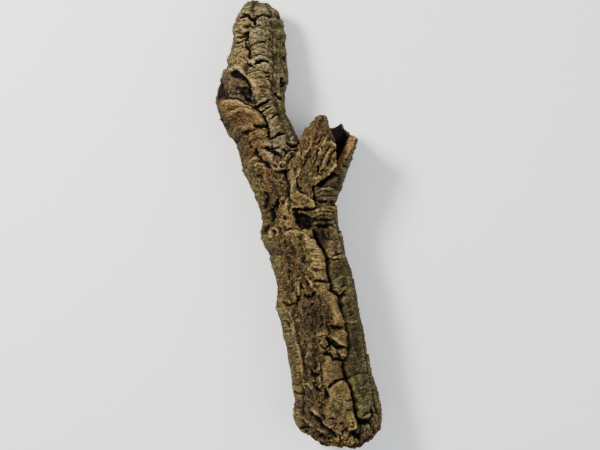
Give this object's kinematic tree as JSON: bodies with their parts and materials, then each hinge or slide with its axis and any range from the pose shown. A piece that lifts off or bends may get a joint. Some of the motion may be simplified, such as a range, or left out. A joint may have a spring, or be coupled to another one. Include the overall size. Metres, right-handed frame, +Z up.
{
  "type": "cork bark tube",
  "caption": "Hollow, forked tube of rough cork oak bark, open at its ends and lying on its side, as a hide, planter or perch.",
  "frame": {"origin": "on the surface the tube rests on, under the middle of its bounding box", "axes": "+Y along the tube from its wide end to its narrow end, +Z up, +X towards the side the short branch leans to"},
  "size_m": [0.1602, 0.5666, 0.0969],
  "materials": {
    "cork_bark": "rough, weathered, matte cork bark"
  },
  "bodies": {
    "root": {"trunk": "cork_bark", "upper_branch": "cork_bark", "side_branch": "cork_bark"}
  },
  "joints": []
}
